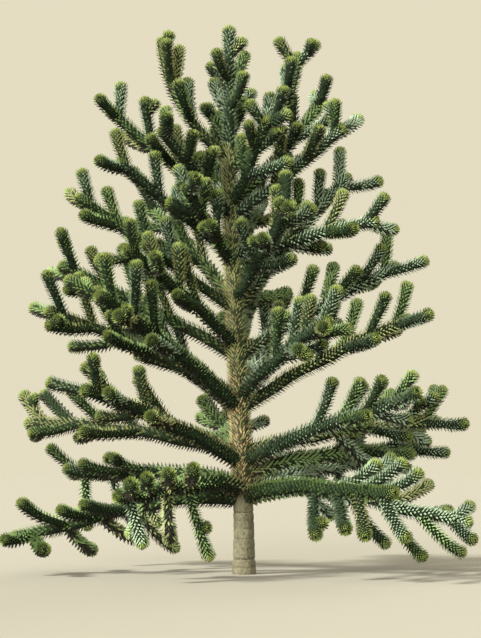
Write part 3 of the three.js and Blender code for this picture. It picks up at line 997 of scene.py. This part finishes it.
# Turn in degrees, height, width and depth of the knots
KNOTS = (
    (-114, 443, 9, 5), (-60, 560, 7, 3), (-150, 330, 10, 4), (-85, 215, 8, 3), (25, 380, 12, 6),
    (80, 520, 9, 4), (150, 260, 12, 5), (-170, 480, 9, 4), (60, 150, 10, 4),
)

# Depths of the bark's relief
ROUGH_DEPTH = 2.6
FLUTE_DEPTHS = (1.3, 0.9)
BULGE_DEPTH = 3.2
LIP_DEPTH = 2.0
GROOVE_DEPTH = 4.2
RING_WOBBLE = 9
CLAD_DEPTH = 3


def trunk_relief(turn, z):
    """How far the bare bark stands in or out at a turn and a height."""
    here = Vector((math.cos(turn) * 1.3, math.sin(turn) * 1.3, z / 130))
    out = ROUGH_DEPTH * noise.fractal(here * 1.4, 0.8, 2.1, 4)
    out += FLUTE_DEPTHS[0] * math.sin(3 * turn + 0.6) + FLUTE_DEPTHS[1] * math.sin(5 * turn + z / 210)
    edges = [0] + sorted(ring[0] for ring in RINGS) + [SCALES_FROM]
    wobble = RING_WOBBLE * noise.noise(Vector((math.cos(turn) * 1.1, math.sin(turn) * 1.1, 3.3)))
    for low, high in zip(edges, edges[1:]):
        if low <= z + wobble < high:
            out += BULGE_DEPTH * math.sin(math.pi * (z + wobble - low) / (high - low)) ** 0.6
    for ring, width, depth in RINGS:
        gone = (z + wobble - ring) / width
        out += LIP_DEPTH * depth * math.exp(-((gone - 2.6) ** 2) / 2)
        out -= GROOVE_DEPTH * depth * math.exp(-gone * gone)
    for knot, height, width, depth in KNOTS:
        sideways = math.remainder(turn - math.radians(knot), 2 * math.pi) * trunk_radius(height)
        away = math.hypot(sideways, (z - height) * 1.3) / width
        out += depth * (math.exp(-((away - 1.3) ** 2) * 3) * 0.6 - math.exp(-away * away * 2.5))
    return out


def select_upright_edges(low, high):
    """Selects the trunk's upright edges between two heights, in edit mode."""
    mesh = bpy.context.object.data
    live = bmesh.from_edit_mesh(mesh)
    for edge in live.edges:
        a, b = edge.verts[0].co, edge.verts[1].co
        upright = abs(a.z - b.z) > 0.01 and math.hypot(a.x - b.x, a.y - b.y) < 0.001
        edge.select = upright and min(a.z, b.z) > low - 0.001 and max(a.z, b.z) < high + 0.001
    bmesh.update_edit_mesh(mesh)


def model_trunk(material):
    """A cylinder cut into bands, leant, tapered and carved into bark."""
    deselect()
    top = TRUNK_TOP * MM
    bpy.ops.mesh.primitive_cylinder_add(
        vertices=TRUNK_SIDES, radius=TRUNK_RADIUS_LOW * MM, depth=top, location=(0, 0, top / 2))
    trunk = bpy.context.object
    trunk.name = trunk.data.name = "trunk_bark"
    bpy.ops.object.transform_apply()
    split = BARE_TOP * MM
    bpy.ops.object.mode_set(mode="EDIT")
    bpy.ops.mesh.select_all(action="SELECT")
    bpy.ops.mesh.bisect(plane_co=(0, 0, split), plane_no=(0, 0, 1))
    bpy.ops.mesh.select_mode(type="EDGE")
    for low, high, cuts in ((0, split, BARE_CUTS), (split, top, CLAD_CUTS)):
        bpy.ops.mesh.select_all(action="DESELECT")
        select_upright_edges(low, high)
        bpy.ops.mesh.subdivide(number_cuts=cuts)
    bpy.ops.mesh.select_all(action="SELECT")
    bpy.ops.mesh.normals_make_consistent(inside=False)
    bpy.ops.object.mode_set(mode="OBJECT")
    for vertex in trunk.data.vertices:
        x, y, z = vertex.co / MM
        turn = math.atan2(y, x)
        radius = trunk_radius(z)
        if z < BARE_TOP:
            radius += trunk_relief(turn, z)
        else:
            rough = noise.noise(Vector((math.cos(turn) * 3, math.sin(turn) * 3, z / 40)))
            radius -= CLAD_DEPTH * (1 + rough)
        x = trunk_lean(z) + radius * math.cos(turn)
        vertex.co = Vector((x, radius * math.sin(turn), max(0, z))) * MM
    bpy.ops.object.shade_smooth_by_angle(angle=math.radians(50))
    trunk.data.materials.append(material)
    return trunk


# The trunk's scale leaves, from the first at its foot to the full ones above
SCALE_SEED = 41
SCALES_BELOW = 35.0  # how far below their zone the first ones stand
SCALE_SPACING = 19.5
SCALE_STEP = 4
SCALE_RISE = 120  # height over which they reach their full size and opening
SCALE_OPENING = (26, 18)
SCALE_SIZE = (26, 20)
SCALE_WIDTH = 0.3
SCALE_KEEL = 4.5
SCALE_BEND = -0.12
SCALE_SUNK = 3

# How far chance moves a scale: its turn, height, opening, yaw, size and bend
SCALE_CHANCES = (0.08, 6, 8, 0.1, 0.12, 0.1)

# The kinds from dry to green, the last a dark one that is partly painted shade, where each ends in three
# zones of the trunk, and the heights between the zones
SCALE_KINDS = np.array(("straw", "brown", "dull", "olive", "deep"))
SCALE_ENDS = ((0.45, 0.62, 0.62, 0.9), (0.08, 0.18, 0.18, 0.82), (-0.2, -0.2, 0.2, 0.75))
SCALE_HEIGHTS = (1500, 2200)
SCALE_BLEND = 260  # how far the zones run into each other
SCALE_SIDE_PAINTED_LIGHT = 0.36  # painted light and shade by side: how far the left-hand scales shift to the paler, drier kinds and the right-hand ones to the greener, darker ones
FOOT_BROWN = 0.75  # share of brown among the lowest
IN_BOUGH = 0.85  # no scale stands within this share of a bough's wood
BOUGH_FOOT = 160  # length of a bough that clears scales away


def dress_trunk(kinds):
    """Old scale leaves in a golden spiral up the trunk, dry and tan below, green above, paler on the left
    and darker on the right as painted light and shade.
    """
    grid = np.arange(SCALES_FROM - SCALES_BELOW, TRUNK_TOP + 10, SCALE_STEP)
    rate = 2 * np.pi * trunk_radius((grid[1:] + grid[:-1]) / 2) * SCALE_STEP / SCALE_SPACING ** 2
    count = np.concatenate([[0], np.cumsum(rate)])
    order = np.arange(int(count[-1]))
    z = np.interp(order + 0.5, count, grid)
    dice = np.random.default_rng(SCALE_SEED)
    rough = dice.random((len(SCALE_CHANCES), len(order))) * 2 - 1
    moved = rough * np.array(SCALE_CHANCES)[:, None]
    turn = order * GOLDEN_TURN + moved[0]
    z = z + moved[1]
    centre = np.stack([trunk_lean(z), 0 * z, z], axis=1)
    radial = np.stack([np.cos(turn), np.sin(turn), 0 * turn], axis=1)
    up = np.tile((0.0, 0, 1), (len(order), 1))
    base = centre + radial * (trunk_radius(z) - SCALE_SUNK)[:, None]
    ready = np.clip((z - SCALES_FROM + SCALES_BELOW) / SCALE_RISE, 0, 1)
    way, face = opened_leaf(up, radial, np.radians(SCALE_OPENING[0] + SCALE_OPENING[1] * ready + moved[2]))
    side = np.cross(way, face)
    way = unit(way + side * moved[3][:, None])
    size = (SCALE_SIZE[0] + SCALE_SIZE[1] * ready) * (1 + moved[4]) + LEAF_SUNK
    width = size * SCALE_WIDTH
    keel = np.full(len(order), SCALE_KEEL)
    curl = SCALE_BEND + moved[5]
    height = z + rough[5] * SCALE_BLEND
    # Random age, shifted by painted light on the left and painted shade on the right
    green = dice.random(len(order)) + SCALE_SIDE_PAINTED_LIGHT * radial[:, 0]
    choices = [SCALE_KINDS[np.searchsorted(ends, green)] for ends in SCALE_ENDS]
    kind = np.choose(np.searchsorted(SCALE_HEIGHTS, height, "right"), choices)
    kind[(z < SCALES_FROM + 10) & (dice.random(len(order)) < FOOT_BROWN)] = "brown"
    keep = np.ones(len(order), bool)
    for limb in LIMBS:
        if limb.kind == "bough":
            keep &= ~inside_core(base, limb, IN_BOUGH, BOUGH_FOOT)
    deal_out(kinds, "trunk", kind, keep, (base, way, face, size, width, keel, curl))


# Operators

FLOOR_RADIUS = 60
CAMERA_PLACE = (-0.0285, -15, 1.0)
CAMERA_TILT = 4.1  # degrees up from level
SENSOR_HEIGHT = 36

# Each light's width in degrees, tint, and where it comes from
LAMPS = {
    "key": (9, (1, 0.97, 0.9), (-0.97, -0.58, 0.74)),
    "fill": (40, (1, 0.98, 0.94), (-0.3, -1, 0.35)),
    "back": (40, (1, 0.98, 0.94), (0.5, 1, 0.5)),
}

ROUGHNESS = {
    "fresh": 0.5, "young": 0.5, "bright": 0.52, "deep": 0.55, "cool": 0.5, "dull": 0.6,
    "under": 0.75, "old": 0.7, "straw": 0.75, "brown": 0.8, "olive": 0.7,
}

# Sides of a tube of wood and length of its faces
BOUGH_MESH = (11, 34)
TWIG_MESH = (7, 42)


class TREE_OT_stage(bpy.types.Operator):
    """Sets up the pale floor, the soft light and the camera"""

    bl_idname = "tree.stage"
    bl_label = "Floor, light and camera"

    def execute(self, context):
        scene, studio = context.scene, context.scene.tree_studio
        deselect()
        bpy.ops.mesh.primitive_circle_add(
            vertices=96, radius=FLOOR_RADIUS, fill_type="NGON", location=(0, 0, 0))
        floor = context.object
        floor.name = "floor"
        cover = Finish("plain_floor")
        cover.dim(0)
        floor.data.materials.append(cover.set(Base_Color=(*studio.floor, 1), Roughness=0.95))

        scene.world = bpy.data.worlds.new("studio_air")
        scene.world.use_nodes = True
        scene.world.node_tree.nodes["Background"].inputs["Color"].default_value = (*studio.air, 1)

        for name, (degrees, tint, source) in LAMPS.items():
            light = bpy.data.lights.new(name, "SUN")
            light.energy, light.angle, light.color = getattr(studio, name), math.radians(degrees), tint
            lamp = bpy.data.objects.new(name, light)
            lamp.rotation_euler = Vector(source).to_track_quat("Z", "Y").to_euler()
            scene.collection.objects.link(lamp)

        lens = bpy.data.cameras.new("camera")
        lens.sensor_fit, lens.sensor_height, lens.lens = "VERTICAL", SENSOR_HEIGHT, studio.lens
        lens.clip_end = 200
        camera = bpy.data.objects.new("camera", lens)
        camera.location = CAMERA_PLACE
        camera.rotation_euler = (math.radians(90 + CAMERA_TILT), 0, 0)
        scene.collection.objects.link(camera)
        scene.camera = camera
        scene.view_settings.view_transform = "Standard"
        return {"FINISHED"}


class TREE_OT_trunk(bpy.types.Operator):
    """Models the trunk's bark over its solid"""

    bl_idname = "tree.trunk"
    bl_label = "Trunk bark"

    def execute(self, context):
        trunk = model_trunk(bark_finish(context.scene.tree_bark))
        place_in_frame(trunk, ["trunk"])
        return {"FINISHED"}


class TREE_OT_wood(bpy.types.Operator):
    """Builds the wood of the boughs, side shoots and twigs"""

    bl_idname = "tree.wood"
    bl_label = "Bough and twig wood"

    def execute(self, context):
        finish = wood_finish(context.scene.tree_bark)
        boughs = [wood_of(limb, *BOUGH_MESH) for limb in LIMBS if limb.order == 1]
        twigs = [wood_of(limb, *TWIG_MESH) for limb in LIMBS if limb.order > 1]
        for name, parts, nodes in (
            ("bough_wood", boughs, nodes_like("bough_") + nodes_like("foliage_")),
            ("twig_wood", twigs, nodes_like("foliage_")),
        ):
            place_in_frame(piece_from(name, *joined(parts), finish, True), nodes)
        return {"FINISHED"}


class TREE_OT_leaves(bpy.types.Operator):
    """Sets the leaves on every limb and the old scales on the trunk"""

    bl_idname = "tree.leaves"
    bl_label = "Leaves and trunk scales"

    def execute(self, context):
        scene = context.scene
        kinds = {}
        for limb in LIMBS:
            dress_limb(limb, kinds, scene.tree_leaf)
        dress_trunk(kinds)
        for kind, rough in ROUGHNESS.items():
            finish = leaf_finish(kind, getattr(scene.tree_leaves, kind), rough)
            tiers = sorted(tier for some, tier in kinds if some == kind)
            if not tiers:
                raise RuntimeError(f"no leaf is {kind}")
            for tier in tiers:
                mesh = leaf_mesh(kinds[kind, tier])
                piece = piece_from(f"leaves_{kind}_{tier}", *mesh, finish, False)
                if tier == "trunk":
                    place_in_frame(piece, ["trunk"])
                else:
                    nodes = nodes_like("foliage_", tier) + nodes_like("bough_", tier)
                    place_in_frame(piece, nodes)
        return {"FINISHED"}


class TREE_PT_panel(bpy.types.Panel):
    """Lists the steps that dress the tree"""

    bl_idname = "TREE_PT_panel"
    bl_label = "Monkey puzzle tree"
    bl_space_type = "VIEW_3D"
    bl_region_type = "UI"
    bl_category = "Tree"

    def draw(self, context):
        for name, group in GROUPS.items():
            box = self.layout.box()
            for key in group.__annotations__:
                box.prop(getattr(context.scene, name), key)
        for step in STEPS:
            self.layout.operator(step.bl_idname)


STEPS = (TREE_OT_stage, TREE_OT_trunk, TREE_OT_wood, TREE_OT_leaves)
GROUPS = {
    "tree_leaf": LeafSettings,
    "tree_leaves": LeafColours,
    "tree_bark": BarkColours,
    "tree_studio": StudioSettings,
}


def register():
    for name, group in GROUPS.items():
        bpy.utils.register_class(group)
        setattr(bpy.types.Scene, name, PointerProperty(type=group))
    for kind in (*STEPS, TREE_PT_panel):
        bpy.utils.register_class(kind)


def unregister():
    for kind in (TREE_PT_panel, *reversed(STEPS)):
        bpy.utils.unregister_class(kind)
    for name, group in GROUPS.items():
        delattr(bpy.types.Scene, name)
        bpy.utils.unregister_class(group)


def main():
    register()
    bpy.ops.tree.stage()
    bpy.ops.tree.trunk()
    bpy.ops.tree.wood()
    bpy.ops.tree.leaves()


if __name__ == "__main__":
    main()
